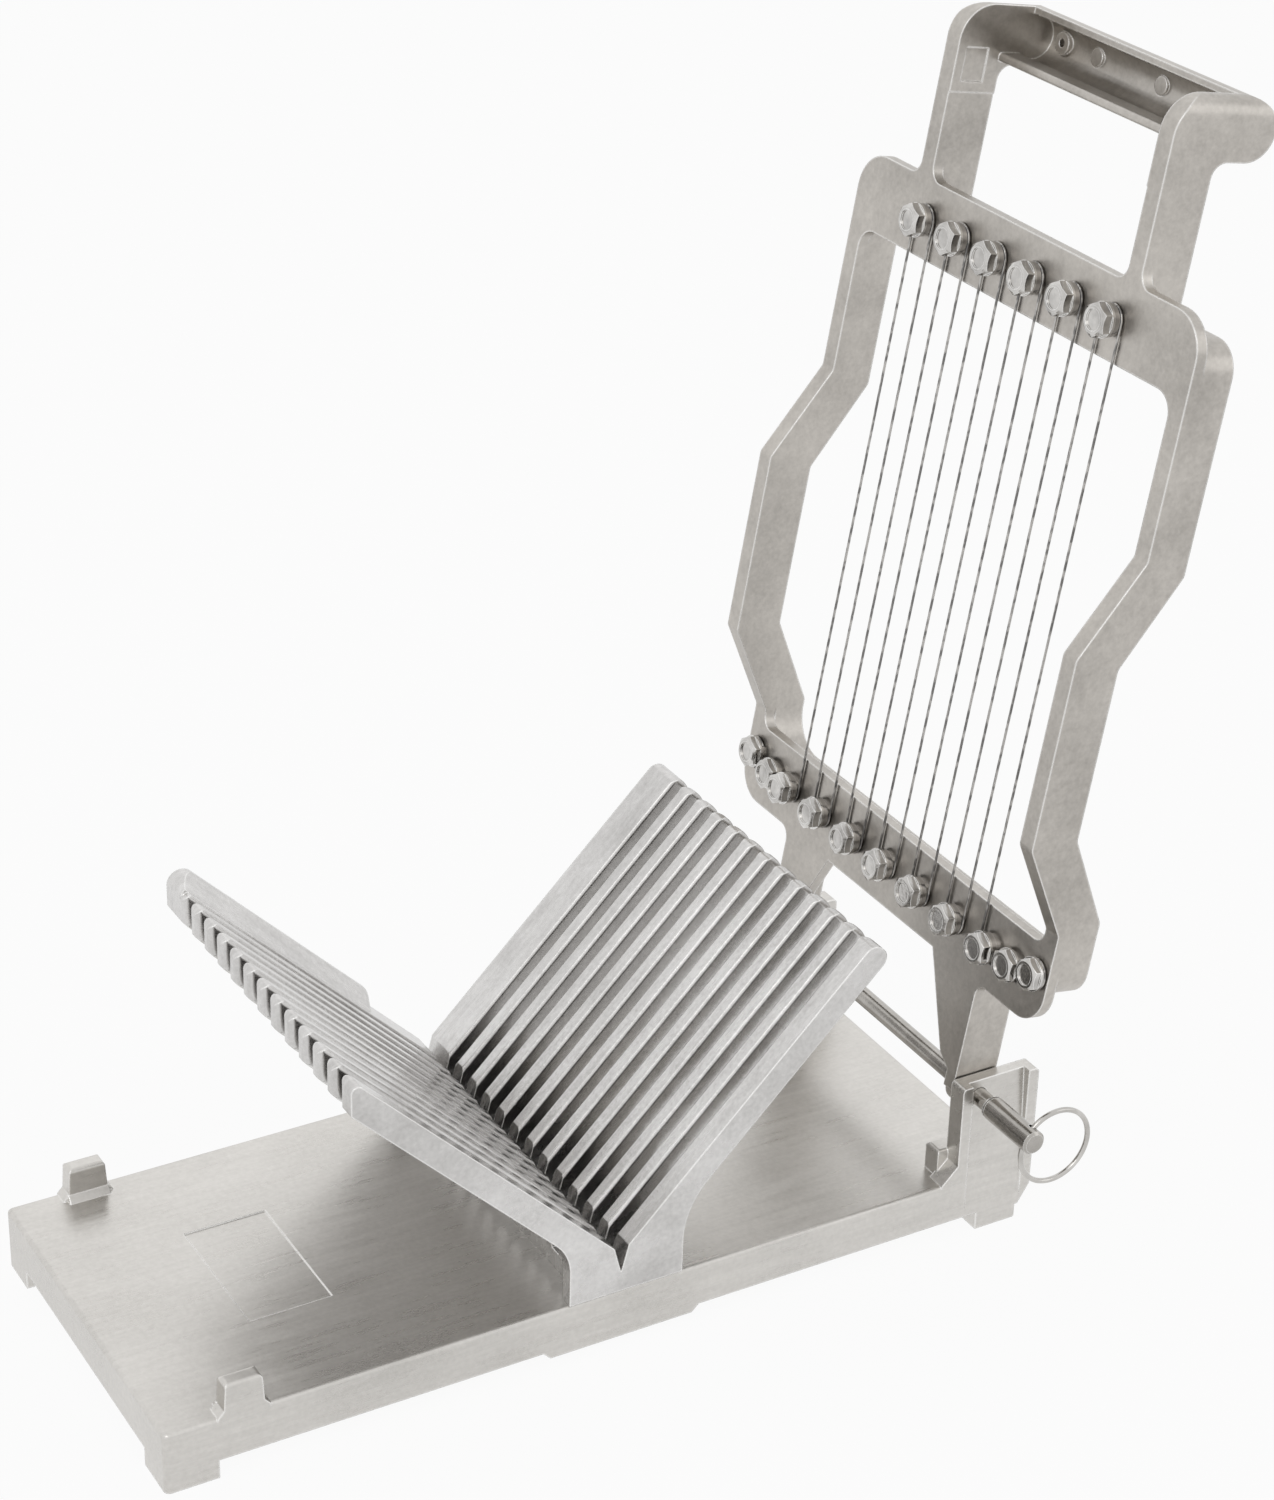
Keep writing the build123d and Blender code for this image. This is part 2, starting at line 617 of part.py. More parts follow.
def plate_outline():
    """The front plate's outer shape, without its legs and handle."""
    return front_rectangle(FRAME_HALF_WIDTH, BOTTOM_BAR_LOW, TOP_BAR_HIGH, BOTTOM_CORNER, TOP_CORNER)


def rim_outline():
    """The outer shape of the deep rim behind the front plate."""
    return front_rectangle(FRAME_HALF_WIDTH, RIM_LOW, RIM_HIGH, RIM_CORNER, RIM_CORNER)


def frame_bars():
    """The two cross bars: the front plate and the rim behind it, with rounded window corners."""
    window = front_rectangle(ARM_INNER, BOTTOM_BAR_HIGH, TOP_BAR_LOW, LOW_WINDOW_CORNER, WINDOW_CORNER)
    plate = draw_n(plate_outline(), FRAME_BACK, FACE)
    plate -= draw_n(window, FRAME_BACK - OVERLAP, FACE + OVERLAP)
    between = (BOTTOM_BAR_HIGH + LOW_WINDOW_CORNER, TOP_BAR_LOW - WINDOW_CORNER)
    plate -= block((-REACH, REACH), (-REACH, REACH), between)
    corners = (RIM_WINDOW_CORNER, RIM_WINDOW_CORNER)
    window = front_rectangle(ARM_INNER, RIM_WINDOW_LOW, RIM_WINDOW_HIGH, *corners)
    rim = draw_n(rim_outline(), ARM_BACK, FRAME_BACK)
    rim -= draw_n(window, ARM_BACK - OVERLAP, FRAME_BACK + OVERLAP)
    between = (RIM_WINDOW_LOW + RIM_WINDOW_CORNER, RIM_WINDOW_HIGH - RIM_WINDOW_CORNER)
    return plate + (rim - block((-REACH, REACH), (-REACH, REACH), between))


def arm_profile():
    """A side arm seen from the side, bowed forward in the middle."""
    front = list(zip((FACE, BOW_FRONT, BOW_FRONT, FACE), BOW_FRONT_U))
    back = list(zip((ARM_BACK, BOW_BACK, BOW_BACK, ARM_BACK), BOW_BACK_U[::-1]))
    ends = [(FACE, TOP_BAR_HIGH), (ARM_BACK, TOP_BAR_HIGH)]
    low = [(ARM_BACK, BOTTOM_BAR_LOW), (FACE, BOTTOM_BAR_LOW)]
    face = outline_xz(frame_points(front + ends + back + low))
    bends = [v for v in face.vertices() if BOW_FRONT_U[0] - OVERLAP < v.Z < BOW_FRONT_U[-1] + OVERLAP]
    return fillet(bends, BOW_BEND)


def side_arm(side):
    """A bowed side arm, trimmed to the outlines of the plate and the rim."""
    arm = draw_y(arm_profile(), ARM_INNER, FRAME_HALF_WIDTH)
    front = arm & draw_n(plate_outline(), FRAME_BACK, REACH)
    return on_side(front + (arm & draw_n(rim_outline(), -REACH, FRAME_BACK)), side)


def inner_corner(y, u, y_way, u_way, radius):
    """The metal that rounds off a re-entrant corner of the front plate."""
    far_y = y + y_way * radius
    far_u = u + u_way * radius
    square = frame_front(((y, u), (far_y, u), (far_y, far_u), (y, far_u)))
    round_cut = along_n(radius, far_y, far_u, FRAME_BACK - OVERLAP, FACE + OVERLAP)
    return draw_n(square, FRAME_BACK, FACE) - round_cut


def heel_corner(n):
    """How far down the frame the tray's top lies at depth n, with the frame at rest."""
    lean = radians(LEAN)
    return (TRAY_TOP - PIVOT_Z - n * sin(lean)) / cos(lean)


def leg_gusset():
    """The slanted gusset between a leg and the bottom bar."""
    gusset = frame_front((
        (LEG_INNER - GUSSET_TOP_RUN, BOTTOM_BAR_LOW + OVERLAP),
        (LEG_INNER - GUSSET_TOP_RUN, BOTTOM_BAR_LOW),
        (LEG_INNER - GUSSET_LOW_RUN, GUSSET_LOW_U),
        (LEG_INNER + OVERLAP, GUSSET_LOW_U - GUSSET_LIP),
        (LEG_OUTER, GUSSET_LOW_U - GUSSET_LIP),
        (LEG_OUTER, BOTTOM_BAR_LOW + OVERLAP),
    ))
    body = draw_n(gusset, FRAME_BACK, FACE)
    return body + inner_corner(LEG_OUTER, BOTTOM_BAR_LOW, 1, -1, LEG_FILLET)


def leg(side):
    """A leg's side web round the pin, its gusset in the front plate and the heel it rests on."""
    r = LEG_END_RADIUS
    web = slab_y(frame_points((
        (FACE, LEG_TOP_U),
        (FACE, 0.0),
        (HEEL_FRONT_N, 0.0),
        (HEEL_FRONT_N, heel_corner(HEEL_FRONT_N)),
        (LEG_BACK, heel_corner(LEG_BACK)),
        (LEG_BACK, LEG_TOP_U),
    )), LEG_INNER, LEG_OUTER)
    web += rod_y(r, 0, 0, LEG_INNER, LEG_OUTER)
    web += block((0, -HEEL_FRONT_N), (LEG_INNER, LEG_OUTER), (-r, 0))
    web += leg_gusset()
    web -= rod_y(PIN_HOLE_RADIUS, 0, 0, LEG_INNER - OVERLAP, LEG_OUTER + OVERLAP)
    return on_side(web, side)


def handle_profile():
    """A handle arm seen from the side, bent back round the end of the grip."""
    top_u = GRIP_U + GRIP_RADIUS
    low_u = GRIP_U - GRIP_RADIUS
    foot_u = TOP_BAR_HIGH - OVERLAP
    bend_start = (-FACE, 0, top_u - HANDLE_BEND)
    bend_end = (-FACE + HANDLE_BEND, 0, top_u)
    inner_start = (-HANDLE_ARM_BACK + HANDLE_INNER_BEND, 0, low_u)
    inner_end = (-HANDLE_ARM_BACK, 0, low_u - HANDLE_INNER_BEND)
    return make_face([
        Line((-FACE, 0, foot_u), bend_start),
        TangentArc(bend_start, bend_end, tangent=(0, 0, 1)),
        Line(bend_end, (-GRIP_N, 0, top_u)),
        TangentArc((-GRIP_N, 0, top_u), (-GRIP_N, 0, low_u), tangent=(1, 0, 0)),
        Line((-GRIP_N, 0, low_u), inner_start),
        TangentArc(inner_start, inner_end, tangent=(-1, 0, 0)),
        Line(inner_end, (-HANDLE_ARM_BACK, 0, foot_u)),
        Line((-HANDLE_ARM_BACK, 0, foot_u), (-FACE, 0, foot_u)),
    ])


def handle_bar():
    """A handle arm whose outer side runs over in a round corner to the top of the grip."""
    top_u = GRIP_U + GRIP_RADIUS
    corners = ((HANDLE_ARM_INNER, 0), (HANDLE_ARM_OUTER, 0), (HANDLE_ARM_OUTER, top_u), (HANDLE_ARM_INNER, top_u))
    rounding = slab_x(corners, -REACH, REACH)
    outer_edge = rounding.edges().filter_by(Axis.X).sort_by(Axis.Y)[-2:].sort_by(Axis.Z)[-1:]
    return draw_y(handle_profile(), HANDLE_ARM_INNER, HANDLE_ARM_OUTER) & fillet(outer_edge, HANDLE_ROUND)


def handle_arm(side):
    """A handle arm and the rib that carries it behind the top bar."""
    arm = handle_bar()
    arm += slab_y(frame_points((
        (FACE - OVERLAP, TOP_BAR_LOW + HANDLE_RIB_DROP / 2),
        (FACE - OVERLAP, TOP_BAR_HIGH),
        (HANDLE_ARM_BACK, TOP_BAR_HIGH),
        (HANDLE_ARM_BACK, TOP_BAR_HIGH - HANDLE_RIB_DROP),
    )), HANDLE_ARM_INNER, HANDLE_ARM_OUTER)
    pad = draw_y(handle_profile(), HANDLE_ARM_INNER - HANDLE_PAD, HANDLE_ARM_INNER)
    arm += pad & block((-REACH, REACH), (0, REACH), (HANDLE_PAD_U, REACH))
    panel_x = (-HANDLE_PANEL_N[1], -HANDLE_PANEL_N[0])
    panel_y = (HANDLE_ARM_INNER - OVERLAP, HANDLE_ARM_INNER - HANDLE_PAD + HANDLE_PANEL_DEPTH)
    arm -= block(panel_x, panel_y, HANDLE_PANEL_U)
    for y, way in ((HANDLE_ARM_INNER, -1), (HANDLE_ARM_OUTER, 1)):
        arm += inner_corner(y, TOP_BAR_HIGH, way, 1, HANDLE_FILLET)
    return on_side(arm, side)


def grip_shell():
    """The hollow grip between the arms, open towards the front."""
    y_range = (-HANDLE_ARM_INNER, HANDLE_ARM_INNER)
    y_wide = (y_range[0] - OVERLAP, y_range[1] + OVERLAP)
    lip_top = GRIP_LIP_U + GRIP_LIP_THICKNESS
    bar = rod_y(GRIP_RADIUS, -GRIP_N, GRIP_U, *y_wide)
    lip = block((-GRIP_LOW_LIP_N, -GRIP_N), y_wide, (GRIP_LIP_U, lip_top))
    bar += fillet(lip.edges().filter_by(Axis.Y).sort_by(Axis.X)[:2], GRIP_LIP_ROUND)
    bar -= rod_y(GRIP_BORE, -GRIP_N, GRIP_U, *y_range)
    bar -= block((0, -GRIP_TOP_LIP_N), y_range, (lip_top, GRIP_U + GRIP_RADIUS + OVERLAP))
    wall_n = GRIP_N - GRIP_BORE
    for y in EJECTOR_MARKS_Y:
        bar += along_n(EJECTOR_MARK_RADIUS, y, GRIP_U, wall_n - GRIP_WALL / 2, wall_n + EJECTOR_MARK_DEPTH)
    boss_n = wall_n + GRIP_BOSS_HEIGHT
    bar += along_n(GRIP_BOSS_RADIUS, GRIP_BOSS_Y, GRIP_U, wall_n - GRIP_WALL / 2, boss_n)
    hole_n = (boss_n - GRIP_BOSS_HOLE_DEPTH, boss_n + OVERLAP)
    return bar - along_n(GRIP_BOSS_HOLE_RADIUS, GRIP_BOSS_Y, GRIP_U, *hole_n)


def screw_places():
    """(name, y, u) of every screw on the front plate."""
    anchors = ((-ANCHOR_OUTER_Y, ANCHOR_OUTER_U), (-ANCHOR_INNER_Y, ANCHOR_INNER_U),
               (ANCHOR_INNER_Y, ANCHOR_INNER_U), (ANCHOR_OUTER_Y, ANCHOR_OUTER_U))
    places = [(f"top_screw_{i + 1}", y, TOP_SCREW_U) for i, y in enumerate(TOP_SCREW_Y)]
    places += [(f"bottom_screw_{i + 1}", y, BOTTOM_SCREW_U) for i, y in enumerate(BOTTOM_SCREW_Y)]
    places += [(f"anchor_screw_{i + 1}", y, u) for i, (y, u) in enumerate(anchors)]
    return places


def frame_casting():
    body = frame_bars()
    for side in (-1, 1):
        body += side_arm(side)
        body += leg(side)
        body += handle_arm(side)
    body += grip_shell()
    for name, y, u in screw_places():
        body -= along_n(SCREW_HOLE_RADIUS, y, u, FRAME_BACK - OVERLAP, FACE + OVERLAP)
    return body


# ---------------------------------------------------------------- screws, collars and wire
def hexagon_head(height):
    """A hexagon head with bevelled corners and a dished end, standing on Z = 0."""
    hexagon = extrude(RegularPolygon(HEAD_FLATS / 2, 6, major_radius=False), amount=height)
    top_radius = HEAD_FLATS / 2 - HEAD_BEVEL_INSET
    low_radius = top_radius + height / tan(radians(HEAD_BEVEL))
    head = hexagon & Cone(low_radius, top_radius, height, align=(Align.CENTER, Align.CENTER, Align.MIN))
    return head - Pos(0, 0, height) * Cylinder(HEAD_DISH_RADIUS, 2 * HEAD_DISH_DEPTH)


def wire_screw(y, u, seat_n, head_height):
    """A flanged hexagon screw whose flange bears on a collar at depth seat_n."""
    head_low = seat_n + FLANGE_HEIGHT
    screw = along_n(SCREW_RADIUS, y, u, FRAME_BACK + SCREW_CLEARANCE, head_low + OVERLAP)
    screw += along_n(FLANGE_RADIUS, y, u, seat_n, head_low)
    return screw + Pos(-head_low, y, u) * Rot(0, -90, 0) * hexagon_head(head_height)


def wire_collar(y, u, seat_n):
    """The collar under a screw's head: a neck for the wire and, on the taller ones, a rim over it."""
    collar = along_n(GROOVE_RADIUS, y, u, FACE, GROOVE_FACE)
    if seat_n > GROOVE_FACE:
        collar += along_n(RIM_RADIUS, y, u, GROOVE_FACE, seat_n)
    return collar - along_n(SCREW_HOLE_RADIUS, y, u, FACE - OVERLAP, seat_n + OVERLAP)


def wire_arc(centre, start_deg, end_deg):
    """An arc of the wire round a screw, with its two ends; angles run from +y towards +u."""
    points = []
    for angle in (start_deg, (start_deg + end_deg) / 2, end_deg):
        a = radians(angle)
        points.append((-WIRE_N, centre[0] + WIRE_TURN * cos(a), centre[1] + WIRE_TURN * sin(a)))
    return ThreePointArc(*points), points[0], points[-1]


def end_turns():
    """The wire's turns past the last strand: the end screw, then the two anchors and the tail."""
    end = (BOTTOM_SCREW_Y[-1], BOTTOM_SCREW_U)
    inner = (ANCHOR_INNER_Y, ANCHOR_INNER_U)
    outer = (ANCHOR_OUTER_Y, ANCHOR_OUTER_U)
    lean_in = degrees(atan2(inner[1] - end[1], inner[0] - end[0]))
    lean_out = degrees(atan2(outer[1] - inner[1], outer[0] - inner[0]))
    return [
        (end, 180.0, 270.0 + lean_in),
        (inner, 270.0 + lean_in, 270.0 + lean_out),
        (outer, 270.0 + lean_out, 270.0 + lean_out + WIRE_TAIL_TURN),
    ]


def wire_turns():
    """Every turn of the wire from tail to tail, as (centre, start angle, end angle)."""
    turns = [((-c[0], c[1]), 180.0 - b, 180.0 - a) for c, a, b in reversed(end_turns())]
    for i, y in enumerate(TOP_SCREW_Y):
        turns.append(((y, TOP_SCREW_U), 180.0, 0.0))
        if i < SCREW_PAIRS - 1:
            turns.append(((BOTTOM_SCREW_Y[i + 1], BOTTOM_SCREW_U), 180.0, 360.0))
    return turns + end_turns()


def cutting_wire():
    """One length of wire: tail, strands up and down between the two rows, tail."""
    edges = []
    previous = None
    for centre, start_deg, end_deg in wire_turns():
        arc, start, finish = wire_arc(centre, start_deg, end_deg)
        if previous is not None:
            edges.append(Line(previous, start))
        edges.append(arc)
        previous = finish
    route = Wire(edges)
    section = Plane(origin=route.position_at(0), z_dir=route.tangent_at(0)) * Circle(WIRE_RADIUS)
    return sweep(section, path=route)


# ---------------------------------------------------------------- pin and ring
def pivot_pin():
    """The hinge pin with its thicker head, drilled for the ring."""
    rod = rod_y(PIN_RADIUS, PIVOT_X, PIVOT_Z, PIN_SHOULDER_Y - OVERLAP, PIN_END_Y)
    rod = chamfer(rod.edges().sort_by(Axis.Y)[-1], PIN_END_CHAMFER)
    head = rod_y(PIN_HEAD_RADIUS, PIVOT_X, PIVOT_Z, PIN_HEAD_END_Y, PIN_SHOULDER_Y - PIN_NECK_LENGTH)
    head = chamfer(head.edges().filter_by(GeomType.CIRCLE).sort_by(Axis.Y)[0], PIN_HEAD_CHAMFER)
    collar = rod_y(PIN_HEAD_RADIUS, PIVOT_X, PIVOT_Z, PIN_SHOULDER_Y - PIN_COLLAR_LENGTH, PIN_SHOULDER_Y)
    neck = rod_y(PIN_NECK_RADIUS, PIVOT_X, PIVOT_Z, PIN_SHOULDER_Y - 2 * PIN_NECK_LENGTH, PIN_SHOULDER_Y)
    pin = rod + head + neck + collar
    hole = Rot(0, RING_TILT, 0) * Cylinder(RING_HOLE_RADIUS, 4 * PIN_HEAD_RADIUS)
    return pin - Pos(PIVOT_X, RING_HOLE_Y, PIVOT_Z) * hole


def pull_ring():
    """The ring through the pin's head, square to the pin and hanging to the rear."""
    tilt = radians(RING_TILT)
    arm = RING_RADIUS - RING_OFFSET
    centre = (PIVOT_X + arm * cos(tilt), RING_HOLE_Y, PIVOT_Z - arm * sin(tilt))
    return Pos(*centre) * Rot(90, 0, 0) * Torus(RING_RADIUS, RING_WIRE_RADIUS)


def all_nodes():
    nodes = [
        ("base_casting", base_casting()),
        ("cradle", cradle()),
        ("frame_casting", place_frame(frame_casting())),
        ("cutting_wire", place_frame(cutting_wire())),
        ("pivot_pin", pivot_pin()),
        ("pull_ring", pull_ring()),
    ]
    screw_spots = [(x, y) for x in CRADLE_SCREW_X for y in CRADLE_SCREW_Y]
    for i, (x, y) in enumerate(screw_spots):
        nodes.append((f"cradle_screw_{i + 1}", cradle_screw(x, y)))
    for name, y, u in screw_places():
        anchor = name.startswith("anchor")
        seat_n = GROOVE_FACE if anchor else COLLAR_FACE
        height = ANCHOR_HEAD_HEIGHT if anchor else HEAD_HEIGHT
        nodes.append((name, place_frame(wire_screw(y, u, seat_n, height))))
        nodes.append((name.replace("screw", "collar"), place_frame(wire_collar(y, u, seat_n))))
    return nodes


os.makedirs("parts", exist_ok=True)
drawn = all_nodes()
middle = Compound([solid for name, solid in drawn]).bounding_box().center()
print(f"the tray's middle lies at {-middle.X:.4f}, {-middle.Y:.4f}")
for node_name, solid in drawn:
    export_step(Pos(-middle.X, -middle.Y, 0) * solid, f"parts/{node_name}.step")
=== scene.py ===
"""Finishes, light and camera for the wire butter slicer."""
import math

import bpy
from mathutils import Matrix, Vector


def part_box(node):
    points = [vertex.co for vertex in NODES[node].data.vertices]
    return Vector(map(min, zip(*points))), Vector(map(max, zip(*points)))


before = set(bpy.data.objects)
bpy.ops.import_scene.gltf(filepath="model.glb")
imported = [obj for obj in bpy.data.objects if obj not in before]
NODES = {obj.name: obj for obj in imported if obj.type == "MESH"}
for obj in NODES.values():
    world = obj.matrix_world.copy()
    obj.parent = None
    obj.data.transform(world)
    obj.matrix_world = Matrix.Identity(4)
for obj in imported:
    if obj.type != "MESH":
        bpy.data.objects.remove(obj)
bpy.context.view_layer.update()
TRAY_HALF_LENGTH = 0.152
base_low, base_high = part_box("base_casting")
TRAY_MIDDLE = Vector((base_low[0] + TRAY_HALF_LENGTH, (base_low[1] + base_high[1]) / 2, 0.0))


# ------------------------------------------------------------------ shader maths
class Sock:
    """A node socket that takes part in Python sums."""

    def __init__(self, tree, socket):
        self.tree = tree
        self.socket = socket

    def node(self, kind, settings=None, inputs=None, out=0):
        """Add a node: its settings first, then the values or links of its sockets."""
        made = self.tree.nodes.new(kind)
        for key, value in (settings or {}).items():
            setattr(made, key, value)
        for key, value in (inputs or {}).items():
            target = made.inputs[key]
            if isinstance(value, Sock):
                self.tree.links.new(value.socket, target)
            else:
                target.default_value = value
        return Sock(self.tree, made.outputs[out]) if made.outputs else None

    def maths(self, operation, *values):
        """A Math node on values or links."""
        return self.node("ShaderNodeMath", {"operation": operation}, dict(enumerate(values)))

    def __add__(self, other):
        return self.maths("ADD", self, other)

    def __radd__(self, other):
        return self.maths("ADD", other, self)

    def __sub__(self, other):
        return self.maths("SUBTRACT", self, other)

    def __rsub__(self, other):
        return self.maths("SUBTRACT", other, self)

    def __mul__(self, other):
        return self.maths("MULTIPLY", self, other)

    def __rmul__(self, other):
        return self.maths("MULTIPLY", other, self)

    def clamped(self):
        """The value kept between 0 and 1."""
        return self.maths("MINIMUM", self.maths("MAXIMUM", self, 0.0), 1.0)

    def step(self, low, high):
        """0 below low, 1 above high, smooth between."""
        return self.node("ShaderNodeMapRange", {"interpolation_type": "SMOOTHSTEP"},
                         {"Value": self, "From Min": low, "From Max": high})

    def mix(self, low, high):
        """The colour low where this value is 0 and high where it is 1."""
        settings = {"data_type": "RGBA"}
        low = (*low, 1.0) if isinstance(low, tuple) and len(low) == 3 else low
        high = (*high, 1.0) if isinstance(high, tuple) and len(high) == 3 else high
        return self.node("ShaderNodeMix", settings, {0: self, 6: low, 7: high}, out=2)


def new_material(name):
    """An empty material and the place on the surface, in metres."""
    made = bpy.data.materials.new(name)
    made.use_nodes = True
    made.node_tree.nodes.clear()
    place = made.node_tree.nodes.new("ShaderNodeTexCoord")
    return made, Sock(made.node_tree, place.outputs["Object"])


def noise(place, stretch, scale, detail=3.0, rough=0.55):
    """Noise in metres: stretch gives how fast it changes along X, Y and Z."""
    spread = place.node("ShaderNodeMapping", {}, {"Vector": place, "Scale": stretch})
    return spread.node("ShaderNodeTexNoise", {}, {
        "Vector": spread, "Scale": scale, "Detail": detail, "Roughness": rough})


# ------------------------------------------------------------------ metals
EVEN = (1.0, 1.0, 1.0)
BEVEL_SAMPLES = 6
BUMP_DEPTH = 0.0004
CASTING_EDGE = 0.0006
CASTING_RUB_HIGHLIGHT = 0.0011
CASTING_BUMP = 0.16
STEEL_EDGE = 0.0003
STEEL_RUB_HIGHLIGHT = 0.0005
STEEL_BUMP = 0.08
WIRE_EDGE = 0.0001
WIRE_BUMP = 0.3
RUB_AND_HIGHLIGHT_SHARE = 0.8
RUBBED_CASTING_HIGHLIGHT = (0.93, 0.925, 0.91)
RUBBED_STEEL_HIGHLIGHT = (0.95, 0.945, 0.93)
PAINTED_UNDERSIDE_SHADE = (0.44, 0.43, 0.42)
CLOUD_SCALE = 26.0
SPECK_SCALE = 620.0
FILM_SCALE = 130.0
WIRE_STRETCH = (180.0, 900.0, 330.0)
WIRE_DARK = (0.2, 0.195, 0.19)
WIRE_LIGHT = (0.52, 0.505, 0.485)


def metal(made, place, colour, roughness, height, bump, edge):
    """Close a metal material: colour and roughness may vary, the edges are eased by a small bevel."""
    eased = place.node("ShaderNodeBevel", {"samples": BEVEL_SAMPLES}, {"Radius": edge})
    normal = place.node("ShaderNodeBump", {}, {
        "Height": height, "Strength": bump, "Distance": BUMP_DEPTH, "Normal": eased})
    shader = place.node("ShaderNodeBsdfPrincipled", {}, {
        "Base Color": colour, "Roughness": roughness, "Metallic": 1.0, "Normal": normal})
    place.node("ShaderNodeOutputMaterial", {}, {"Surface": shader})
    return made


def sharp_edges(place, radius):
    """1 on the crests and rims of a piece, 0 on its faces."""
    eased = place.node("ShaderNodeBevel", {"samples": BEVEL_SAMPLES}, {"Radius": radius})
    face = place.node("ShaderNodeNewGeometry", out=1)
    likeness = place.node("ShaderNodeVectorMath", {"operation": "DOT_PRODUCT"}, {0: eased, 1: face}, out=1)
    return (1.0 - likeness).step(0.01, 0.14)


def facing_down(place):
    """1 on the undersides of a casting, 0 on its sides and top."""
    face = place.node("ShaderNodeNewGeometry", out=1)
    height = face.node("ShaderNodeSeparateXYZ", {}, {0: face}, out=2)
    return (-1.0 * height).step(0.2, 0.6)


def cast_metal(name, light, dark, roughness, brushed, mottle, streak_scale, underside_shade=0.0):
    """Tumbled cast aluminium: soft cloudiness, fine grain, brushed lines, bright rubbed edges that are partly
    a painted highlight, and, where an underside shade is given, painted shade on the faces that look down.
    """
    made, place = new_material(name)
    cloud = noise(place, EVEN, CLOUD_SCALE, 4.0)
    speck = noise(place, EVEN, SPECK_SCALE, 2.0, 0.6)
    lines = noise(place, brushed, streak_scale, 3.0, 0.7)
    worn_and_highlit = sharp_edges(place, CASTING_RUB_HIGHLIGHT)
    tone = (0.5 + (cloud - 0.5) * mottle + (speck - 0.5) * 0.55 + (lines - 0.5) * 0.75).clamped()
    # Rubbed edges: partly real wear, partly a painted highlight along every crest and rim.
    colour = (worn_and_highlit * RUB_AND_HIGHLIGHT_SHARE).mix(tone.mix(dark, light), RUBBED_CASTING_HIGHLIGHT)
    # Painted shade: the faces that look down are darkened towards a dim grey, as if in shadow.
    if underside_shade:
        colour = (facing_down(place) * underside_shade).mix(colour, PAINTED_UNDERSIDE_SHADE)
    gloss = (roughness + (cloud - 0.5) * 0.16 + (lines - 0.5) * 0.22 - worn_and_highlit * 0.1).clamped()
    height = speck * 0.5 + lines * 0.6
    return metal(made, place, colour, gloss, height, CASTING_BUMP, CASTING_EDGE)


def steel(name, light, dark, roughness, scale):
    """Machined steel with turning marks and bright rubbed edges, partly wear and partly a painted highlight.
    """
    made, place = new_material(name)
    marks = noise(place, EVEN, scale, 2.0)
    film = noise(place, EVEN, FILM_SCALE, 3.0)
    worn_and_highlit = sharp_edges(place, STEEL_RUB_HIGHLIGHT)
    tone = ((film - 0.5) * 1.4 + 0.5).clamped()
    # Rubbed edges: partly real wear, partly a painted highlight along every crest and rim.
    colour = (worn_and_highlit * RUB_AND_HIGHLIGHT_SHARE).mix(tone.mix(dark, light), RUBBED_STEEL_HIGHLIGHT)
    gloss = (roughness + (marks - 0.5) * 0.1 + (film - 0.5) * 0.12).clamped()
    return metal(made, place, colour, gloss, marks, STEEL_BUMP, STEEL_EDGE)


def twisted_steel(name):
    """Fine twisted wire: light and dark turns along its length."""
    made, place = new_material(name)
    turns = noise(place, WIRE_STRETCH, 1.0, 1.0, 0.5)
    colour = turns.step(0.38, 0.64).mix(WIRE_DARK, WIRE_LIGHT)
    return metal(made, place, colour, 0.3 + turns * 0.15, turns, WIRE_BUMP, WIRE_EDGE)


TRAY = cast_metal("tray_aluminium", light=(0.73, 0.71, 0.68), dark=(0.50, 0.485, 0.46), roughness=0.30,
                  brushed=(0.35, 5.0, 5.0), mottle=0.9, streak_scale=90.0)
# The cradle's undersides get painted shade.
CRADLE = cast_metal("cradle_aluminium", light=(0.78, 0.77, 0.76), dark=(0.44, 0.43, 0.42), roughness=0.25,
                    brushed=(1.0, 5.0, 1.0), mottle=0.9, streak_scale=70.0, underside_shade=0.85)
FRAME = cast_metal("frame_aluminium", light=(0.62, 0.59, 0.55), dark=(0.36, 0.34, 0.315), roughness=0.36,
                   brushed=EVEN, mottle=1.5, streak_scale=240.0)
SCREW = steel("screw_steel", light=(0.78, 0.765, 0.74), dark=(0.30, 0.29, 0.28), roughness=0.11, scale=900.0)
# Painted shade: the collars take a darker copy of the screw steel, standing in for the shadow they sit in.
SHADED_COLLAR_STEEL = steel("collar_steel_painted_shade", light=(0.52, 0.50, 0.48), dark=(0.26, 0.25, 0.24), roughness=0.18, scale=900.0)
PIN = steel("pin_steel", light=(0.54, 0.52, 0.49), dark=(0.32, 0.305, 0.285), roughness=0.2, scale=700.0)
RING = steel("ring_steel", light=(0.66, 0.645, 0.62), dark=(0.40, 0.385, 0.365), roughness=0.12, scale=500.0)
WIRE = twisted_steel("wire_steel")

FINISHES = {
    "base_casting": TRAY,
    "cradle": CRADLE,
    "frame_casting": FRAME,
    "cutting_wire": WIRE,
    "pivot_pin": PIN,
    "pull_ring": RING,
}


def finish_of(node):
    """A node's finish; the nodes that aren't listed are collars and screws."""
    if node in FINISHES:
        return FINISHES[node]
    return SHADED_COLLAR_STEEL if "collar" in node else SCREW


for node_name, piece in NODES.items():
    if not piece.data.materials:
        piece.data.materials.append(None)
    for slot_index in range(len(piece.material_slots)):
        piece.material_slots[slot_index].material = finish_of(node_name)


# ------------------------------------------------------------------ floor, backdrop and light
FLOOR_SIZE = 14.0
FLOOR_GREY = 0.86
FLOOR_GLOW = 0.93
ROOM_GREY = 0.55


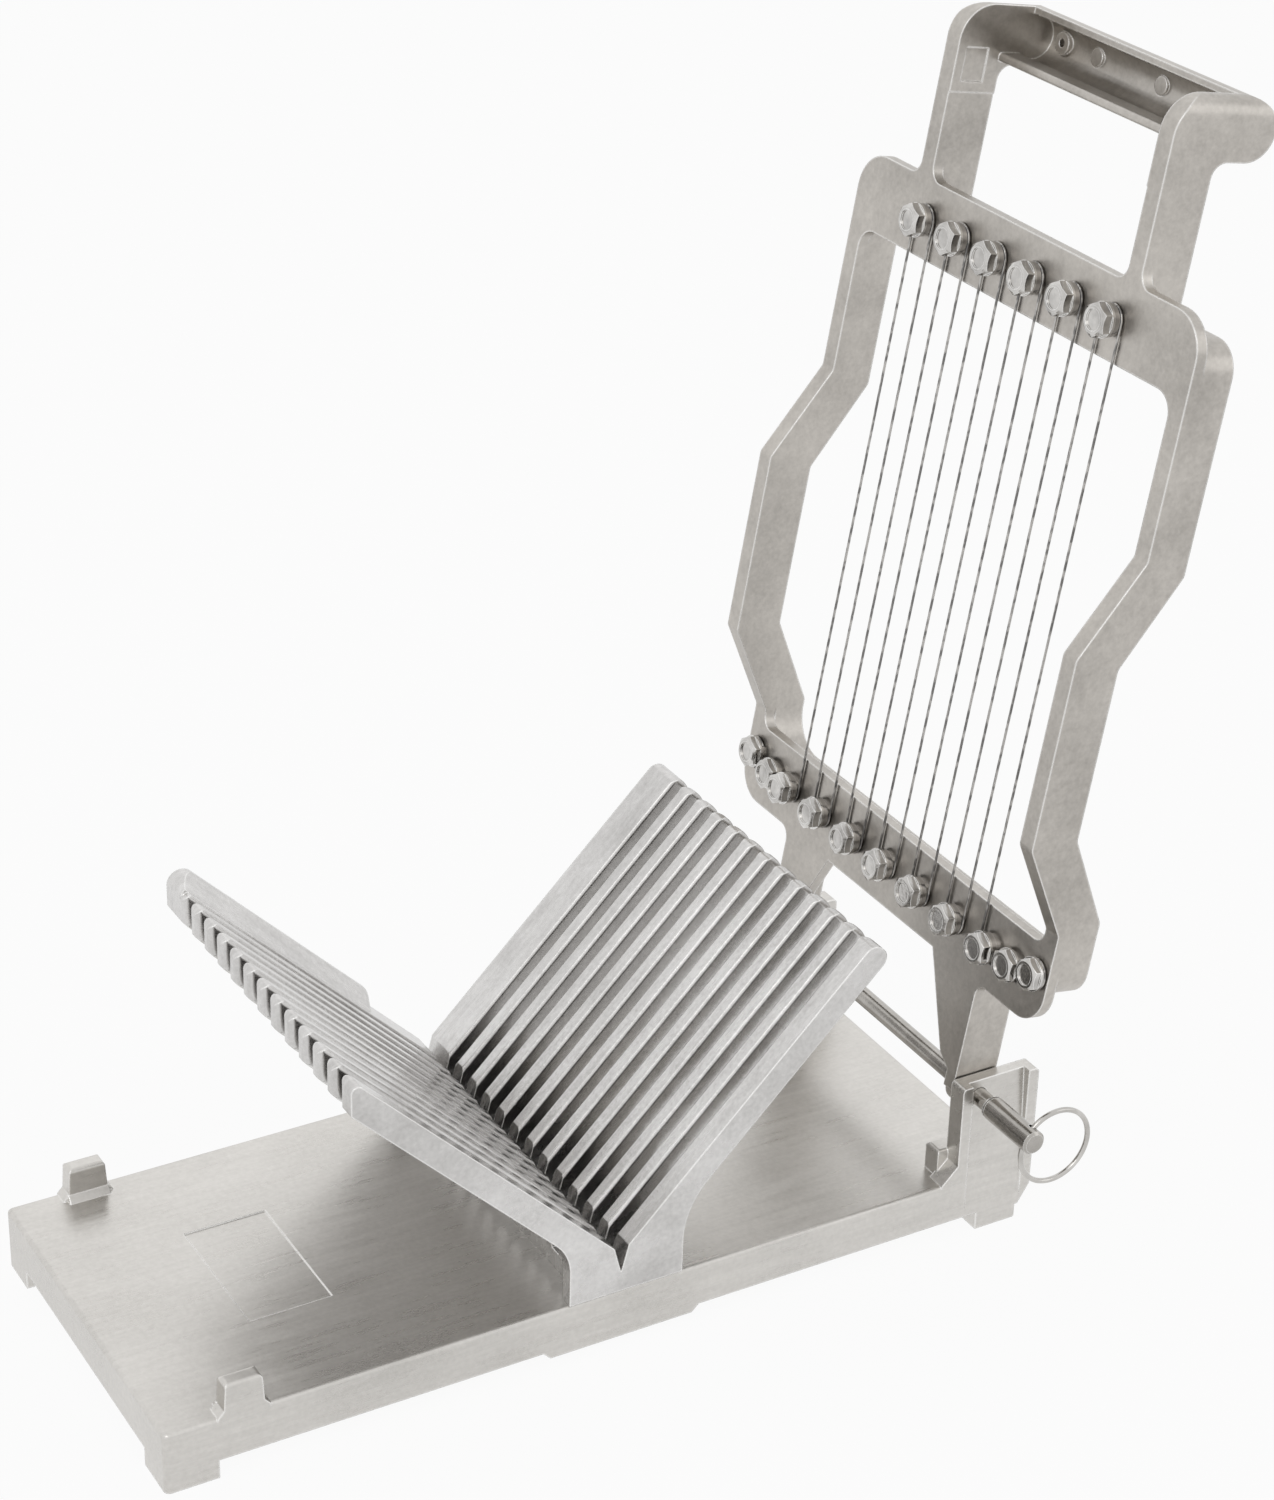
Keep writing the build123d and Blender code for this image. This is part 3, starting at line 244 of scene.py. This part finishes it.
def shown_ray(tree):
    """1 for what the camera, the metal or glass sees, 0 for the light that falls on surfaces."""
    path = tree.nodes.new("ShaderNodeLightPath")
    seen = Sock(tree, path.outputs["Is Camera Ray"])
    glossy = Sock(tree, path.outputs["Is Glossy Ray"])
    through = Sock(tree, path.outputs["Is Transmission Ray"])
    return (seen + glossy + through).clamped()


def floor_material():
    """White to the eye and in the metal, with a faint shadow."""
    made, place = new_material("floor_white")
    white = place.node("ShaderNodeBsdfDiffuse", {}, {"Color": (FLOOR_GREY, FLOOR_GREY, FLOOR_GREY, 1.0)})
    glow = place.node("ShaderNodeEmission", {}, {"Color": (1.0, 1.0, 1.0, 1.0), "Strength": 1.0})
    share = FLOOR_GLOW * shown_ray(made.node_tree)
    both = place.node("ShaderNodeMixShader", {}, {0: share, 1: white, 2: glow})
    place.node("ShaderNodeOutputMaterial", {}, {"Surface": both})
    return made


bpy.ops.mesh.primitive_plane_add(size=FLOOR_SIZE, location=(0.0, 0.0, 0.0))
floor = bpy.context.object
floor.name = "floor"
floor.data.materials.append(floor_material())


def studio_world():
    """White behind the object and in the metal, with soft light all round."""
    world = bpy.data.worlds.new("studio")
    bpy.context.scene.world = world
    world.use_nodes = True
    world.node_tree.nodes.clear()
    shown = shown_ray(world.node_tree)
    colour = shown.mix((ROOM_GREY, ROOM_GREY, ROOM_GREY), (1.0, 1.0, 1.0))
    glow = shown.node("ShaderNodeBackground", {}, {"Color": colour, "Strength": 1.0})
    shown.node("ShaderNodeOutputWorld", {}, {"Surface": glow})


def soft_box(name, place, aim, size, power):
    """A rectangular lamp in watts; its place and aim are measured from the middle of the tray."""
    data = bpy.data.lights.new(name, "AREA")
    data.shape = "RECTANGLE"
    data.size, data.size_y = size
    data.energy = power
    lamp = bpy.data.objects.new(name, data)
    lamp.location = TRAY_MIDDLE + Vector(place)
    lamp.rotation_euler = (Vector(aim) - Vector(place)).to_track_quat("-Z", "Y").to_euler()
    bpy.context.scene.collection.objects.link(lamp)


studio_world()
soft_box("key", place=(-0.9, -0.9, 1.5), aim=(0.0, 0.0, 0.12), size=(0.9, 0.9), power=3.5)
soft_box("fill", place=(1.3, -1.0, 0.8), aim=(0.05, 0.0, 0.15), size=(0.8, 1.0), power=1.2)
soft_box("back", place=(0.9, 1.7, 1.3), aim=(0.0, 0.0, 0.1), size=(1.2, 0.9), power=0.5)


# ------------------------------------------------------------------ camera
CAMERA_FROM_TRAY = (-0.4436, -0.8257, 0.6758)
CAMERA_TURN = math.radians(-29.8)
CAMERA_RISE = math.radians(27.17)
CAMERA_ROLL = math.radians(1.32)
SENSOR_WIDTH = 36.0
LENS_LENGTH = 83.35
LENS_SHIFT = (0.0195, -0.0241)


def place_camera():
    """The photographer's place, measured from the ground under the middle of the tray."""
    back = Vector((math.sin(CAMERA_TURN) * math.cos(CAMERA_RISE),
                   -math.cos(CAMERA_TURN) * math.cos(CAMERA_RISE),
                   math.sin(CAMERA_RISE)))
    level = Vector((math.cos(CAMERA_TURN), math.sin(CAMERA_TURN), 0.0))
    upright = back.cross(level)
    right = level * math.cos(CAMERA_ROLL) + upright * math.sin(CAMERA_ROLL)
    up = upright * math.cos(CAMERA_ROLL) - level * math.sin(CAMERA_ROLL)
    turn = Matrix((right, up, back)).transposed().to_4x4()
    lens = bpy.data.cameras.new("camera")
    lens.sensor_width = SENSOR_WIDTH
    lens.lens = LENS_LENGTH
    lens.shift_x, lens.shift_y = LENS_SHIFT
    camera = bpy.data.objects.new("camera", lens)
    camera.matrix_world = Matrix.Translation(TRAY_MIDDLE + Vector(CAMERA_FROM_TRAY)) @ turn
    bpy.context.scene.collection.objects.link(camera)
    bpy.context.scene.camera = camera


place_camera()
bpy.context.scene.view_settings.view_transform = "Standard"
